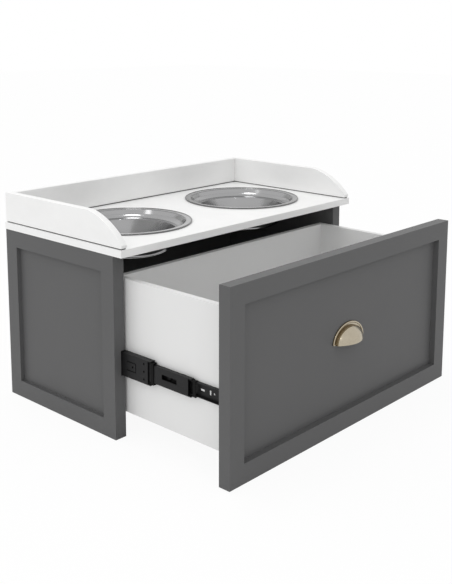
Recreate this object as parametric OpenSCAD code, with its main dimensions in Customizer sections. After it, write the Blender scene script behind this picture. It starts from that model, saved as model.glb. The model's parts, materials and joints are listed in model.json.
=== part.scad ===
// Raised pet feeder: two lift-out steel bowls over a wide pull-out storage drawer.
// X runs across the front, Y from the front to the back, Z up.
// The drawer is drawn pulled out by drawer_open; at drawer_open = 0 it is shut.

/* [Cabinet] */
// Width over the two side panels
cabinet_w = 690; // [560:5:900]
// Depth of the side panels
cabinet_d = 330; // [310:5:420]
// Height of the side panels
cabinet_h = 349; // [320:1:460]
// Thickness of a side panel
side_t = 25; // [24:1:32]
// Width of the raised frame round a side panel's field
side_stile = 34; // [20:1:60]
// Depth of the side panel's sunk field
side_field_depth = 9; // [3:0.5:10]
// Thickness of the back panel
back_t = 12; // [6:1:16]
// Width of the rabbet that holds the back panel
back_rabbet = 12; // [8:1:14]
// Thickness of the stretcher near the floor
stretcher_t = 18; // [12:1:25]
// Depth of the stretcher, front to back
stretcher_w = 80; // [50:5:120]
// Distance of the stretcher behind the front edges
stretcher_setback = 130; // [100:5:150]
// Height of the stretcher above the floor
stretcher_z = 10; // [4:1:16]

/* [Top] */
// Thickness of the top slab
slab_t = 14; // [12:1:20]
// How far the slab stands past each side panel
slab_side_lip = 1.5; // [0.5:0.5:6]
// Thickness of the rails round the top
rail_t = 14; // [10:1:20]
// Height of the rails above the slab
rail_h = 61; // [40:1:90]
// Distance of the rails inside the slab's edges
rail_inset = 1.5; // [0.5:0.5:5]
// Height of a side rail's front end
rail_nose_h = 8; // [6:1:20]
// Length of the sweep down to a side rail's front end
rail_sweep = 92; // [60:1:120]
// How far the sweep bulges beyond a straight line
rail_bow = 9; // [4:0.5:12]
// Height of the shadow gap under the rails
shadow_h = 2; // [1:0.5:4]
// Depth of the shadow gap under the rails
shadow_d = 2; // [1:0.5:3]

/* [Bowls] */
// Outer radius of a bowl's rim
bowl_rim_r = 130; // [115:1:140]
// Width of the flat rim that rests on the slab
bowl_rim_w = 12; // [8:1:16]
// Height of the rolled rim
bowl_rim_h = 2.6; // [2:0.2:4]
// Depth of a bowl below the top of the slab
bowl_depth = 59.5; // [45:0.5:60]
// Steel thickness of a bowl
bowl_wall = 1.2; // [0.8:0.1:2]
// Radius inside the first step
bowl_step_r = 112; // [106:1:114]
// Depth of the first step
bowl_step_z = 8; // [6:0.5:10]
// Radius at the foot of the shoulder
bowl_shoulder_r = 97; // [94:1:102]
// Depth of the foot of the shoulder
bowl_shoulder_z = 15; // [13:0.5:20]
// Radius of the wall where it meets the rounded base
bowl_foot_r = 91; // [80:1:93]
// Radius of the rounded edge round the base
bowl_corner_r = 20; // [10:1:24]
// Distance between the two bowls' centres
bowl_pitch = 346; // [280:1:400]
// Gap round a bowl's neck in its hole
bowl_clearance = 2; // [1:0.5:3]

/* [Drawer] */
// How far the drawer is pulled out
drawer_open = 256; // [0:1:270]
// Thickness of the drawer's front
front_t = 24; // [20:1:30]
// Gap behind the shut front
front_gap = 1; // [0.5:0.5:3]
// Gap round the front's other edges
front_reveal = 1.5; // [1:0.5:4]
// Width of the raised frame round the front's field
front_stile = 36; // [20:1:60]
// Depth of the front's sunk field
front_field_depth = 12; // [4:0.5:12]
// Depth of the drawer box, front to back
box_d = 290; // [270:1:300]
// Gap between the shut drawer box and the bowls above it
box_headroom = 2.5; // [1:0.5:40]
// Height of the drawer box above the floor
box_z = 46; // [40:1:60]
// Thickness of the drawer box's boards
box_t = 12; // [10:1:16]
// Thickness of the drawer's bottom
floor_t = 6; // [4:1:8]
// Height of the bottom above the boards' lower edges
floor_lift = 10; // [6:1:16]
// Depth of the groove that holds the bottom
floor_groove = 6; // [4:1:7]
// Gap between the drawer box and a side panel
box_side_gap = 5; // [4:0.5:8]

/* [Slides] */
// Thickness of the telescopic slides
slide_t = 12.7; // [12.7:0.1:14]
// Distance of the slides' front ends behind the edges that they start from
slide_setback = 2; // [1:0.5:6]
// How much shorter the slides are than the drawer box
slide_short = 10; // [5:1:30]
// Height of the outer member
outer_h = 45; // [44:0.5:50]
// Height of the middle member
middle_h = 33; // [32:0.5:34]
// Height of the inner member
inner_h = 26; // [24:0.5:26.5]
// Depth of the inner member's channel
inner_depth = 6.5; // [6:0.1:7]
// Gap between the middle member's open side and the drawer box
middle_mouth_gap = 2; // [1.5:0.1:2.5]
// Gap between the outer member's open side and the drawer box
outer_mouth_gap = 1.2; // [1:0.1:1.5]
// Sheet thickness of the slide members
slide_sheet = 1.2; // [1:0.1:1.4]
// Height of the lips that hold the balls in the outer member
lip_h = 2.5; // [1.5:0.1:2.8]
// Height of the slides' centre line
slide_z = 144; // [110:1:170]
// Share of the drawer's travel that the outer member makes
outer_ratio = 0.33; // [0.2:0.01:0.45]
// Share of the drawer's travel that the middle member makes
middle_ratio = 0.69; // [0.5:0.01:0.85]
// Length of a ball cage
cage_len = 110; // [90:5:120]
// Balls in one row of a cage
ball_count = 6; // [3:1:8]
// Thickness of a ball cage's bridge
cage_sheet = 0.8; // [0.6:0.1:1]
// Gap between a cage or a ball and the members that it runs in
cage_play = 0.35; // [0.3:0.05:0.4]
// Gap between the outer member and the fixed track
track_play = 0.4; // [0.3:0.05:0.6]

/* [Slide cut-outs] */
// How far the webs are cut back between their flanges at the front
web_setback = 7; // [2:0.5:8]
// Distance of the outer member's three holes from its front end
outer_hole_in = 17; // [12:1:25]
// Distance between the lowest and the highest of those holes
outer_hole_span = 29; // [24:1:32]
// Diameter of the holes in the slides
slide_hole_d = 4; // [3:0.5:5]
// Distance of the tongue from the outer member's front end
tongue_in = 38; // [30:1:60]
// Length of the tongue
tongue_len = 24; // [16:1:40]
// Height of the tongue
tongue_h = 18; // [14:1:22]
// Width of the slots round the tongue
tongue_slot = 1.6; // [1:0.1:3]
// Distance of the window from the middle member's front end
window_in = 35; // [20:1:60]
// Length of the window
window_len = 37; // [20:1:60]
// Height of the window
window_h = 9; // [5:0.5:12]
// Height of the window's middle above the slides' centre line
window_up = 1; // [0:0.5:2]
// Distance of the land below the slides' centre line
land_down = 5; // [5:0.5:8]
// Height of the land above the middle member's web
land_t = 0.2; // [0.1:0.05:0.3]
// Distance of the inner member's hole from its front end
inner_hole_in = 34; // [28:1:36]
// Distance of the upright slot from the inner member's front end
upright_in = 41; // [39:1:44]
// Width of the upright slot
upright_w = 4; // [3:0.5:6]
// Height of the upright slot
upright_h = 9; // [6:0.5:12]
// Distance of the level slot from the inner member's front end
level_in = 56; // [52:1:70]
// Length of the level slot
level_len = 10; // [6:1:14]
// Height of the level slot
level_h = 4; // [3:0.5:6]

/* [Pull] */
// Width of the cup pull's backplate
pull_w = 98; // [70:1:130]
// Height of the cup pull's backplate
pull_h = 37; // [28:1:50]
// Width of the flange round the cup
pull_flange = 7.5; // [5:0.5:10]
// Thickness of the backplate
pull_plate_t = 2; // [1.5:0.5:3]
// How far the cup stands out from the drawer's field
pull_reach = 24; // [18:1:32]
// Depth of the straight collar between the flange and the dome
pull_collar = 7; // [4:0.5:9]
// Step from the collar in to the dome
pull_step = 1; // [0.6:0.1:1.2]
// Wall thickness of the cup
pull_wall = 2; // [1.5:0.5:3]
// Width of the raised rim round the flange
pull_rim_w = 3.5; // [1.5:0.5:3.5]
// Height of the raised rim round the flange
pull_rim_rise = 1.2; // [0.5:0.1:2]
// Distance between the pull's two screws
pull_screw_pitch = 54; // [44:1:60]
// Height of the pull's screws above its lower edge
pull_screw_up = 12; // [10:1:16]
// Diameter of the bosses inside the cup
pull_boss_d = 8; // [7:0.5:10]
// How far the pull's screws reach into the bosses
pull_screw_bite = 7; // [5:0.5:9]
// Height of the backplate's lower edge above the floor
pull_z = 169; // [120:1:200]

/* [Fixings] */
// Diameter of the dowels
dowel_d = 8; // [6:1:8]
// How far a dowel reaches into a board's end
dowel_in = 16; // [10:1:20]
// How far a dowel reaches up into the slab
slab_dowel_up = 9; // [6:1:10]
// How far a dowel reaches into the drawer box's sides
box_dowel_in = 8; // [5:0.5:9]
// Distance of the end dowels from a board's ends
dowel_edge = 42; // [30:1:50]
// Distance between the stretcher's dowels and its edges
stretcher_dowel_in = 18; // [10:1:19]
// Distance of the end screws from a board's ends
screw_edge = 38; // [30:1:50]
// How far a screw reaches into a board's edge
screw_bite = 18; // [12:1:24]
// How far a screw reaches into the drawer's front
front_screw_bite = 6; // [4:0.5:7]
// Distance of the end screws from a slide member's ends
slide_screw_edge = 20; // [12:1:26]
// How far the screws reach into the side panels
track_screw_bite = 4; // [3:0.5:5]
// How far the screws reach into the drawer box's sides
inner_screw_bite = 9; // [6:0.5:9.5]
// Thread diameter of the wood screws
screw_d = 4; // [3:0.5:5]
// Head diameter of the wood screws
screw_head_d = 8; // [6:0.5:9]
// Head height of the wood screws
screw_head_h = 2.2; // [1.5:0.1:3]
// Gap round a dowel, screw or track in its hole or groove
fixing_clearance = 0.1; // [0.05:0.05:0.3]

/* [Hidden] */
$fn = 48;

half_w = cabinet_w / 2;
inner_half_w = half_w - side_t;
slab_z = cabinet_h;
slab_top = slab_z + slab_t;
slab_half_w = half_w + slab_side_lip;
slab_front = -(front_gap + front_t);
rail_outer = slab_half_w - rail_inset;
rail_front = slab_front + rail_inset;

// The sweep is an arc between the rail's top and its nose. Its centre lies behind and below the chord.
sweep_drop = rail_h - rail_nose_h;
sweep_chord = sqrt(rail_sweep * rail_sweep + sweep_drop * sweep_drop);
sweep_r = sweep_chord * sweep_chord / (8 * rail_bow) + rail_bow / 2;
sweep_y = rail_front + rail_sweep / 2 + (sweep_r - rail_bow) * sweep_drop / sweep_chord;
sweep_z = rail_h - sweep_drop / 2 - (sweep_r - rail_bow) * rail_sweep / sweep_chord;

bowl_x = bowl_pitch / 2;
bowl_y = (slab_front + cabinet_d) / 2;
neck_r = bowl_rim_r - bowl_rim_w;

front_back_y = -(front_gap + drawer_open);
front_face_y = front_back_y - front_t;
field_y = front_face_y + front_field_depth;
front_half_w = half_w - front_reveal;
front_z0 = front_reveal;
front_z1 = cabinet_h - front_reveal;
box_half_w = inner_half_w - box_side_gap;
box_in_half_w = box_half_w - box_t;
box_back_y = front_back_y + box_d;
box_h = slab_top - bowl_depth - box_headroom - box_z;
floor_z = box_z + floor_lift;

// Across a slide, from the drawer box's side outwards.
slide_len = box_d - slide_short;
inner_web = box_half_w;
inner_mouth = inner_web + inner_depth;
middle_mouth = box_half_w + middle_mouth_gap;
outer_mouth = box_half_w + outer_mouth_gap;
outer_web = box_half_w + slide_t;
cage_gap = cage_sheet + land_t + 2 * cage_play;
middle_web = outer_web - slide_sheet - cage_gap;
track_web = outer_web + track_play + slide_sheet;
track_h = outer_h + 2 * (track_play + slide_sheet);
groove_half_h = track_h / 2 + fixing_clearance;
groove_play = 2;

// Where each member's front end lies when the drawer is shut.
outer_home = slide_setback + 6;
outer_cage_home = slide_setback + 46;
inner_cage_home = slide_setback + 30;
outer_cage_ratio = (outer_ratio + middle_ratio) / 2;
inner_cage_ratio = (middle_ratio + 1) / 2;
outer_y = outer_home - outer_ratio * drawer_open;
middle_y = slide_setback - middle_ratio * drawer_open;
inner_y = front_back_y + slide_setback;
outer_cage_y = outer_cage_home - outer_cage_ratio * drawer_open;
inner_cage_y = inner_cage_home - inner_cage_ratio * drawer_open;

// The cup is part of a surface turned about an upright line behind the drawer's field.
cup_half_w = pull_w / 2 - pull_flange;
cup_h = pull_h - pull_flange;
dome_half_w = cup_half_w - pull_step;
dome_reach = pull_reach - pull_collar;
dome_r = (dome_half_w * dome_half_w + dome_reach * dome_reach) / (2 * dome_reach);
dome_axis = dome_r - dome_reach;
dome_top = (cup_h - pull_step) * dome_r / dome_half_w;

// Rows of fixings.
cut = 1;
slab_dowel_y = spread(dowel_edge, cabinet_d - dowel_edge, 3);
stretcher_dowel_y = spread(stretcher_setback + stretcher_dowel_in,
                           stretcher_setback + stretcher_w - stretcher_dowel_in, 2);
box_dowel_z = spread(box_z + dowel_edge, box_z + box_h - dowel_edge, 3);
back_screw_z = spread(screw_edge, cabinet_h - screw_edge, 3);
back_screw_x = inner_half_w + back_rabbet / 2;
back_screw_len = back_t + screw_bite;
rail_screw_len = slab_t + screw_bite;
side_rail_x = rail_outer - rail_t / 2;
side_rail_screw_y = spread(rail_front + rail_sweep + screw_edge, cabinet_d - rail_inset - 2 * screw_edge, 2);
back_rail_y = cabinet_d - rail_inset - rail_t / 2;
back_rail_screw_x = spread(screw_edge - rail_outer, rail_outer - screw_edge, 4);
track_screw_y = spread(slide_setback + slide_screw_edge, slide_setback + slide_len - slide_screw_edge, 3);
inner_screw_y = spread(inner_y + slide_screw_edge, inner_y + slide_len - slide_screw_edge, 3);
front_screw_x = box_in_half_w - screw_edge;
front_screw_z = spread(box_z + screw_edge, box_z + box_h - screw_edge, 2);
front_screw_len = box_t + front_screw_bite;
pull_screw_x = pull_screw_pitch / 2;
pull_screw_z = pull_z + pull_screw_up;

// The origin is under the middle of the whole feeder with its drawer out.
origin_y = (field_y - pull_reach + cabinet_d) / 2;

function spread(low, high, count) = [for (i = [0:count - 1]) low + (high - low) * i / (count - 1)];
function reversed(list) = [for (i = [len(list) - 1:-1:0]) list[i]];
function half_oval(half_w, h, steps = 36) =
    [for (i = [0:steps]) [half_w * cos(180 * i / steps), h * sin(180 * i / steps)]];

module placed() {
    translate([0, -origin_y, 0]) children();
}

module mirrored() {
    mirror([1, 0, 0]) children();
}

module both_sides() {
    children();
    mirrored() children();
}

// A block between two opposite corners.
module block(low, high) {
    translate(low) cube(high - low);
}

// A flat outline in Y and Z, made solid from x0 to x1.
module along_x(x0, x1) {
    translate([x0, 0, 0]) rotate([90, 0, 90]) linear_extrude(height = x1 - x0) children();
}

// A flat outline in X and Z, made solid from y0 to y1.
module along_y(y0, y1) {
    translate([0, y1, 0]) rotate([90, 0, 0]) linear_extrude(height = y1 - y0) children();
}

// A round bar that starts at a point and runs along +X, +Y or +Z.
module bar_x(start, r, length) {
    translate(start) rotate([0, 90, 0]) cylinder(r = r, h = length);
}

module bar_y(start, r, length) {
    translate(start) rotate([-90, 0, 0]) cylinder(r = r, h = length);
}

module bar_z(start, r, length) {
    translate(start) cylinder(r = r, h = length);
}

// Dowels and screws. With grow set to the clearance, the same shapes are the holes.
module slab_dowel_row(grow = 0) {
    for (y = slab_dowel_y)
        bar_z([inner_half_w + side_t / 2, y, cabinet_h - dowel_in - grow], dowel_d / 2 + grow,
              dowel_in + slab_dowel_up + 2 * grow);
}

module stretcher_dowel_row(grow = 0) {
    for (y = stretcher_dowel_y)
        bar_x([inner_half_w - dowel_in - grow, y, stretcher_z + stretcher_t / 2], dowel_d / 2 + grow,
              2 * (dowel_in + grow));
}

module box_dowel_row(grow = 0) {
    for (y = [front_back_y + box_t / 2, box_back_y - box_t / 2], z = box_dowel_z)
        bar_x([box_in_half_w - dowel_in - grow, y, z], dowel_d / 2 + grow,
              dowel_in + box_dowel_in + 2 * grow);
}

module back_screw_row(grow = 0) {
    for (z = back_screw_z) {
        bar_y([back_screw_x, cabinet_d - back_screw_len - grow, z], screw_d / 2 + grow,
              back_screw_len + grow);
        bar_y([back_screw_x, cabinet_d - screw_head_h - grow, z], screw_head_d / 2 + grow,
              screw_head_h + grow);
    }
}

module rail_screw(x, y, grow) {
    bar_z([x, y, slab_z], screw_d / 2 + grow, rail_screw_len + grow);
    bar_z([x, y, slab_z], screw_head_d / 2 + grow, screw_head_h + grow);
}

module side_rail_screw_row(grow = 0) {
    for (y = side_rail_screw_y)
        rail_screw(side_rail_x, y, grow);
}

module back_rail_screw_row(grow = 0) {
    for (x = back_rail_screw_x)
        rail_screw(x, back_rail_y, grow);
}

module track_screw_row(grow = 0) {
    head = track_web - slide_sheet;
    for (y = track_screw_y) {
        bar_x([head, y, slide_z], screw_d / 2 + grow, slide_sheet + track_screw_bite + grow);
        bar_x([head, y, slide_z], screw_head_d / 2 + grow, slide_sheet);
    }
}

module inner_screw_row(grow = 0) {
    for (y = inner_screw_y)
        bar_x([inner_web - inner_screw_bite - grow, y, slide_z], screw_d / 2 + grow,
              inner_screw_bite + slide_sheet + 2 * grow);
}

module front_screw_row(grow = 0) {
    for (z = front_screw_z)
        bar_y([front_screw_x, front_back_y + box_t - front_screw_len - grow, z], screw_d / 2 + grow,
              front_screw_len + 2 * grow);
}

module pull_screw_pair(grow = 0) {
    bar_y([pull_screw_x, field_y - pull_screw_bite, pull_screw_z], screw_d / 2 + grow,
          front_back_y + box_t - field_y + pull_screw_bite + grow);
}

// The right side panel: a sunk field outside, a slide groove inside and a rabbet for the back.
module side_panel() {
    color("dimgray") difference() {
        block([inner_half_w, 0, 0], [half_w, cabinet_d, cabinet_h]);
        block([half_w - side_field_depth, side_stile, side_stile],
              [half_w + cut, cabinet_d - side_stile, cabinet_h - side_stile]);
        block([inner_half_w - cut, cabinet_d - back_t, -cut],
              [inner_half_w + back_rabbet, cabinet_d + cut, cabinet_h + cut]);
        block([inner_half_w - cut, -cut, slide_z - groove_half_h],
              [track_web + fixing_clearance, outer_home + slide_len + groove_play, slide_z + groove_half_h]);
        slab_dowel_row(fixing_clearance);
        stretcher_dowel_row(fixing_clearance);
        back_screw_row(fixing_clearance);
        track_screw_row(fixing_clearance);
    }
}

module side_left() {
    placed() mirrored() side_panel();
}

module side_right() {
    placed() side_panel();
}

module back_panel() {
    panel_half_w = inner_half_w + back_rabbet;
    color("gray") placed() difference() {
        block([-panel_half_w, cabinet_d - back_t, 0], [panel_half_w, cabinet_d, cabinet_h]);
        both_sides() back_screw_row(fixing_clearance);
    }
}

module stretcher() {
    color("dimgray") placed() difference() {
        block([-inner_half_w, stretcher_setback, stretcher_z],
              [inner_half_w, stretcher_setback + stretcher_w, stretcher_z + stretcher_t]);
        both_sides() stretcher_dowel_row(fixing_clearance);
    }
}

module top_slab() {
    color("white") placed() difference() {
        block([-slab_half_w, slab_front, slab_z], [slab_half_w, cabinet_d, slab_top]);
        both_sides() {
            bar_z([bowl_x, bowl_y, slab_z - cut], neck_r + bowl_clearance, slab_t + 2 * cut);
            slab_dowel_row(fixing_clearance);
            side_rail_screw_row(fixing_clearance);
        }
        back_rail_screw_row(fixing_clearance);
    }
}

// The outline of a side rail, level at the back and swept down to a short nose at the front.
module rail_outline() {
    level_y = rail_front + rail_sweep;
    translate([level_y, 0]) square([cabinet_d - rail_inset - level_y, rail_h]);
    intersection() {
        translate([rail_front, 0]) square([rail_sweep, rail_h]);
        translate([sweep_y, sweep_z]) circle(r = sweep_r, $fn = 360);
    }
}

module side_rail() {
    inner = rail_outer - rail_t;
    color("white") difference() {
        translate([0, 0, slab_top]) union() {
            intersection() {
                along_x(inner, rail_outer) rail_outline();
                block([inner - cut, rail_front - cut, shadow_h],
                      [rail_outer + cut, cabinet_d + cut, rail_h + cut]);
            }
            block([inner + shadow_d, rail_front + shadow_d, 0],
                  [rail_outer - shadow_d, cabinet_d - rail_inset - shadow_d, shadow_h]);
        }
        side_rail_screw_row(fixing_clearance);
    }
}

module rail_left() {
    placed() mirrored() side_rail();
}

module rail_right() {
    placed() side_rail();
}

module rail_back() {
    inner = rail_outer - rail_t;
    rear = cabinet_d - rail_inset;
    color("white") placed() difference() {
        union() {
            block([-inner, rear - rail_t, slab_top + shadow_h], [inner, rear, slab_top + rail_h]);
            block([-inner, rear - rail_t + shadow_d, slab_top],
                  [inner, rear - shadow_d, slab_top + shadow_h]);
        }
        back_rail_screw_row(fixing_clearance);
    }
}

// Half the section of a bowl's inside or outside, from its neck down to the axis, taken in by inset.
function bowl_side(inset) =
    let (foot = bowl_foot_r - bowl_corner_r, arc_z = bowl_corner_r - bowl_depth, r = bowl_corner_r - inset)
    concat(
        [[neck_r - inset, 0], [bowl_step_r - inset, -bowl_step_z],
         [bowl_shoulder_r - inset, -bowl_shoulder_z]],
        [for (a = [0:9:90]) [foot + r * cos(a), arc_z - r * sin(a)]],
        [[0, inset - bowl_depth]]
    );

module bowl_body() {
    bead = bowl_rim_h / 2;
    rim = [for (a = [-90:15:90]) [bowl_rim_r - bead + bead * cos(a), bead + bead * sin(a)]];
    neck_top = [neck_r - bowl_wall, bowl_rim_h];
    color("silver") translate([bowl_x, bowl_y, slab_top]) rotate_extrude($fn = 180)
        polygon(concat(reversed(bowl_side(0)), rim, [neck_top], bowl_side(bowl_wall)));
}

module bowl_left() {
    placed() mirrored() bowl_body();
}

module bowl_right() {
    placed() bowl_body();
}

module drawer_front() {
    color("dimgray") placed() difference() {
        block([-front_half_w, front_face_y, front_z0], [front_half_w, front_back_y, front_z1]);
        block([front_stile - front_half_w, front_face_y - cut, front_z0 + front_stile],
              [front_half_w - front_stile, field_y, front_z1 - front_stile]);
        both_sides() {
            front_screw_row(fixing_clearance);
            pull_screw_pair(fixing_clearance);
        }
    }
}

// The slot in the drawer box's boards that holds the bottom's edge.
module floor_slot() {
    reach = box_in_half_w + floor_groove;
    block([-reach, front_back_y + box_t - floor_groove, floor_z],
          [reach, box_back_y - box_t + floor_groove, floor_z + floor_t]);
}

module box_side() {
    color("whitesmoke") difference() {
        block([box_in_half_w, front_back_y, box_z], [box_half_w, box_back_y, box_z + box_h]);
        floor_slot();
        box_dowel_row(fixing_clearance);
        inner_screw_row(fixing_clearance);
    }
}

module box_side_left() {
    placed() mirrored() box_side();
}

module box_side_right() {
    placed() box_side();
}

module box_front() {
    color("whitesmoke") placed() difference() {
        block([-box_in_half_w, front_back_y, box_z], [box_in_half_w, front_back_y + box_t, box_z + box_h]);
        floor_slot();
        both_sides() {
            box_dowel_row(fixing_clearance);
            front_screw_row(fixing_clearance);
            pull_screw_pair(fixing_clearance);
        }
    }
}

module box_back() {
    color("whitesmoke") placed() difference() {
        block([-box_in_half_w, box_back_y - box_t, box_z], [box_in_half_w, box_back_y, box_z + box_h]);
        floor_slot();
        both_sides() box_dowel_row(fixing_clearance);
    }
}

module box_floor() {
    color("whitesmoke") placed() floor_slot();
}

// The dome's solid of revolution, taken in by inset.
module dome_solid(inset) {
    r = dome_r - inset;
    top = dome_top - inset;
    translate([0, field_y - pull_collar + dome_axis, pull_z]) rotate_extrude($fn = 120)
        polygon(concat([[0, 0]], [for (a = [0:5:90]) [r * cos(a), top * sin(a)]]));
}

// A half-oval ring w wide, from y0 to y1. Its outer edge is in from the pull's by inset.
module pull_ring(y0, y1, inset, w) {
    along_y(y0, y1) translate([0, pull_z]) difference() {
        polygon(half_oval(pull_w / 2 - inset, pull_h - inset));
        polygon(half_oval(pull_w / 2 - inset - w, pull_h - inset - w));
    }
}

module cup_pull() {
    face = field_y - pull_plate_t;
    dome_y = field_y - pull_collar;
    color("tan") placed() difference() {
        union() {
            pull_ring(face, field_y, 0, pull_flange + pull_wall);
            pull_ring(face - pull_rim_rise, face, 0, pull_rim_w);
            pull_ring(dome_y, field_y, pull_flange, pull_wall);
            intersection() {
                difference() {
                    dome_solid(0);
                    dome_solid(pull_wall);
                }
                block([-pull_w, field_y - 2 * pull_reach, pull_z],
                      [pull_w, dome_y + pull_step / 2, pull_z + pull_h]);
            }
            both_sides() intersection() {
                bar_y([pull_screw_x, field_y - pull_reach, pull_screw_z], pull_boss_d / 2, pull_reach);
                dome_solid(pull_wall / 2);
            }
        }
        both_sides() pull_screw_pair(fixing_clearance);
    }
}

module pull_screws() {
    color("silver") placed() both_sides() {
        pull_screw_pair();
        bar_y([pull_screw_x, front_back_y + box_t, pull_screw_z], screw_head_d / 2, screw_head_h);
    }
}

module front_screws() {
    color("silver") placed() both_sides() {
        front_screw_row();
        for (z = front_screw_z)
            bar_y([front_screw_x, front_back_y + box_t, z], screw_head_d / 2, screw_head_h);
    }
}

module back_screws() {
    color("silver") placed() both_sides() back_screw_row();
}

module rail_screws() {
    color("silver") placed() {
        both_sides() side_rail_screw_row();
        back_rail_screw_row();
    }
}

module slab_dowels() {
    color("burlywood") placed() both_sides() slab_dowel_row();
}

module stretcher_dowels() {
    color("burlywood") placed() both_sides() stretcher_dowel_row();
}

module box_dowels() {
    color("burlywood") placed() both_sides() box_dowel_row();
}

// A folded steel channel that runs front to back. Its web's outer face is at web and its mouth at mouth.
module channel(web, mouth, h, y0, lip = 0) {
    side = mouth < web ? 1 : 0;
    reach = abs(mouth - web);
    translate([web, 0, slide_z]) mirror([side, 0, 0]) along_y(y0, y0 + slide_len) {
        difference() {
            translate([0, -h / 2]) square([reach, h]);
            translate([slide_sheet, slide_sheet - h / 2]) square([reach, h - 2 * slide_sheet]);
        }
        if (lip > 0)
            for (z = [slide_sheet - h / 2, h / 2 - slide_sheet - lip])
                translate([reach - slide_sheet, z]) square([slide_sheet, lip]);
    }
}

// A window through the right-hand member whose web's faces are near and far, between two corners in Y and Z.
module window(near, far, low, high) {
    block([near - cut, low[0], slide_z + low[1]], [far + cut, high[0], slide_z + high[1]]);
}

module track() {
    color("black") difference() {
        channel(track_web, inner_half_w, track_h, slide_setback);
        track_screw_row(fixing_clearance);
    }
}

// The cut at the front of a right-hand web of height h whose faces are near and far.
module web_front(near, far, y0, h) {
    half_h = h / 2 - slide_sheet;
    window(near, far, [y0 - cut, -half_h], [y0 + web_setback, half_h]);
}

// The outer member, with three holes and a tongue cut out of its web.
module outer_member() {
    near = outer_web - slide_sheet;
    through = slide_sheet + 2 * cut;
    tongue_y = outer_y + tongue_in;
    half_h = tongue_h / 2;
    color("black") difference() {
        channel(outer_web, outer_mouth, outer_h, outer_y, lip_h);
        web_front(near, outer_web, outer_y, outer_h);
        for (z = spread(-outer_hole_span / 2, outer_hole_span / 2, 3))
            bar_x([near - cut, outer_y + outer_hole_in, slide_z + z], slide_hole_d / 2, through);
        bar_x([near - cut, tongue_y + half_h, slide_z], slide_hole_d / 2, through);
        window(near, outer_web, [tongue_y, -half_h], [tongue_y + tongue_slot, half_h]);
        for (z = [-half_h, half_h - tongue_slot])
            window(near, outer_web, [tongue_y, z], [tongue_y + tongue_len, z + tongue_slot]);
    }
}

// The middle member, with a window in its web and a land pressed along its lower edge.
module middle_member() {
    window_y = middle_y + window_in;
    color("black") difference() {
        union() {
            channel(middle_web, middle_mouth, middle_h, middle_y);
            block([middle_web, middle_y, slide_z - middle_h / 2],
                  [middle_web + land_t, middle_y + slide_len, slide_z - land_down]);
        }
        web_front(middle_web - slide_sheet, middle_web + land_t, middle_y, middle_h);
        window(middle_web - slide_sheet, middle_web + land_t, [window_y, window_up - window_h / 2],
               [window_y + window_len, window_up + window_h / 2]);
    }
}

// The inner member, with two slots and a hole in its web.
module inner_member() {
    far = inner_web + slide_sheet;
    upright_y = inner_y + upright_in;
    level_y = inner_y + level_in;
    color("black") difference() {
        channel(inner_web, inner_mouth, inner_h, inner_y);
        bar_x([inner_web - cut, inner_y + inner_hole_in, slide_z], slide_hole_d / 2, slide_sheet + 2 * cut);
        window(inner_web, far, [upright_y, -upright_h / 2], [upright_y + upright_w, upright_h / 2]);
        window(inner_web, far, [level_y, -level_h / 2], [level_y + level_len, level_h / 2]);
        inner_screw_row(fixing_clearance);
    }
}

// Two strips with a row of balls in each, joined by a bridge at the front end.
// They fill the gaps above and below the inner one of two members, from low_z to high_z off the centre line.
module cage(y0, low_x, high_x, bridge_x, low_z, high_z) {
    bridge_len = 7;
    end_ball = 10;
    ball_r = (high_z - low_z) / 2 - cage_play;
    strip = ball_r * 0.75;
    mid_z = (low_z + high_z) / 2;
    color([0.1, 0.1, 0.1]) {
        for (z = [slide_z - mid_z, slide_z + mid_z]) {
            block([low_x, y0, z - strip], [high_x, y0 + cage_len, z + strip]);
            for (y = spread(y0 + end_ball, y0 + cage_len - end_ball, ball_count))
                translate([(low_x + bridge_x) / 2, y, z]) sphere(r = ball_r, $fn = 24);
        }
        block([bridge_x, y0, slide_z - mid_z - strip],
              [high_x, y0 + bridge_len, slide_z + mid_z + strip]);
    }
}

module outer_cage() {
    bridge_x = middle_web + land_t + cage_play;
    cage(outer_cage_y, outer_mouth + slide_sheet + cage_play, bridge_x + cage_sheet, bridge_x,
         middle_h / 2, outer_h / 2 - slide_sheet);
}

module inner_cage() {
    high_x = middle_web - slide_sheet - cage_play;
    cage(inner_cage_y, middle_mouth + cage_play, high_x, high_x - cage_sheet,
         inner_h / 2, middle_h / 2 - slide_sheet);
}

module track_left() {
    placed() mirrored() track();
}

module track_right() {
    placed() track();
}

module outer_left() {
    placed() mirrored() outer_member();
}

module outer_right() {
    placed() outer_member();
}

module middle_left() {
    placed() mirrored() middle_member();
}

module middle_right() {
    placed() middle_member();
}

module inner_left() {
    placed() mirrored() inner_member();
}

module inner_right() {
    placed() inner_member();
}

module outer_cage_left() {
    placed() mirrored() outer_cage();
}

module outer_cage_right() {
    placed() outer_cage();
}

module inner_cage_left() {
    placed() mirrored() inner_cage();
}

module inner_cage_right() {
    placed() inner_cage();
}

module track_screws() {
    color("silver") placed() both_sides() track_screw_row();
}

module inner_screws() {
    color("black") placed() both_sides() {
        inner_screw_row();
        for (y = inner_screw_y)
            bar_x([inner_web + slide_sheet, y, slide_z], screw_head_d / 2, screw_head_h);
    }
}

side_left();
side_right();
back_panel();
stretcher();
top_slab();
rail_back();
rail_left();
rail_right();
bowl_left();
bowl_right();
drawer_front();
box_front();
box_side_left();
box_side_right();
box_back();
box_floor();
cup_pull();
pull_screws();
front_screws();
back_screws();
rail_screws();
slab_dowels();
stretcher_dowels();
box_dowels();
track_left();
track_right();
outer_left();
outer_right();
middle_left();
middle_right();
inner_left();
inner_right();
outer_cage_left();
outer_cage_right();
inner_cage_left();
inner_cage_right();
track_screws();
inner_screws();
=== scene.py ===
"""Surfaces and finishes of a raised pet feeder with a storage drawer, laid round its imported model."""

import json
import math

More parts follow.
